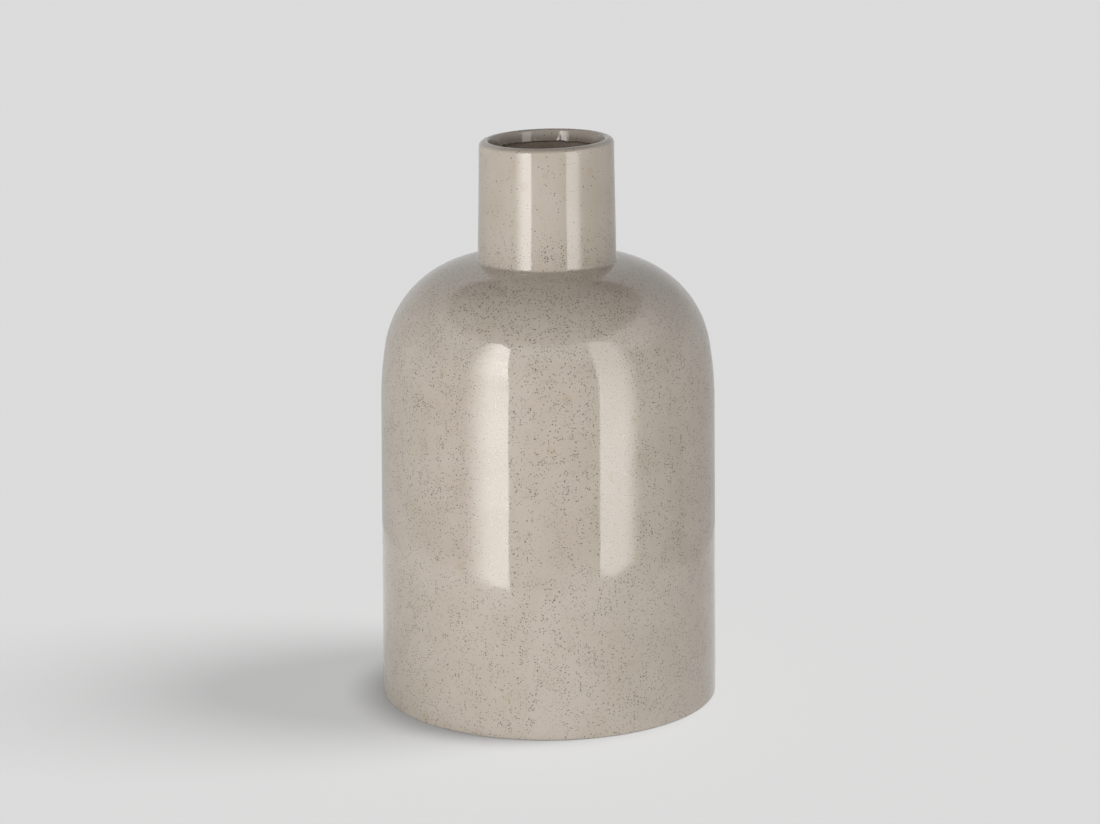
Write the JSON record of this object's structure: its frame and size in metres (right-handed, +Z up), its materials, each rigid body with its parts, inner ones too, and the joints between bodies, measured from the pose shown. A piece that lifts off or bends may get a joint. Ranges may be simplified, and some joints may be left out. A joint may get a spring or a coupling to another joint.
{
  "type": "bottle vase",
  "caption": "Stoneware bottle vase with an upright body, quarter-round shoulder, short straight neck and glossy speckled greige glaze, bare clay inside.",
  "frame": {"origin": "centre of the foot ring, on the surface that the vase stands on", "axes": "+Z up along the vase's axis of turning, from the foot to the mouth"},
  "size_m": [0.1799, 0.18, 0.3],
  "materials": {
    "stoneware": "bare fired clay, matte",
    "slip": "fired slip, matte",
    "glaze": "glossy greige glaze with brown specks"
  },
  "bodies": {
    "root": {"body_section": "stoneware", "shoulder_section": "stoneware", "neck_section": "stoneware", "shoulder_slip": "slip", "neck_slip": "slip", "glaze_coat": "glaze"}
  },
  "joints": []
}
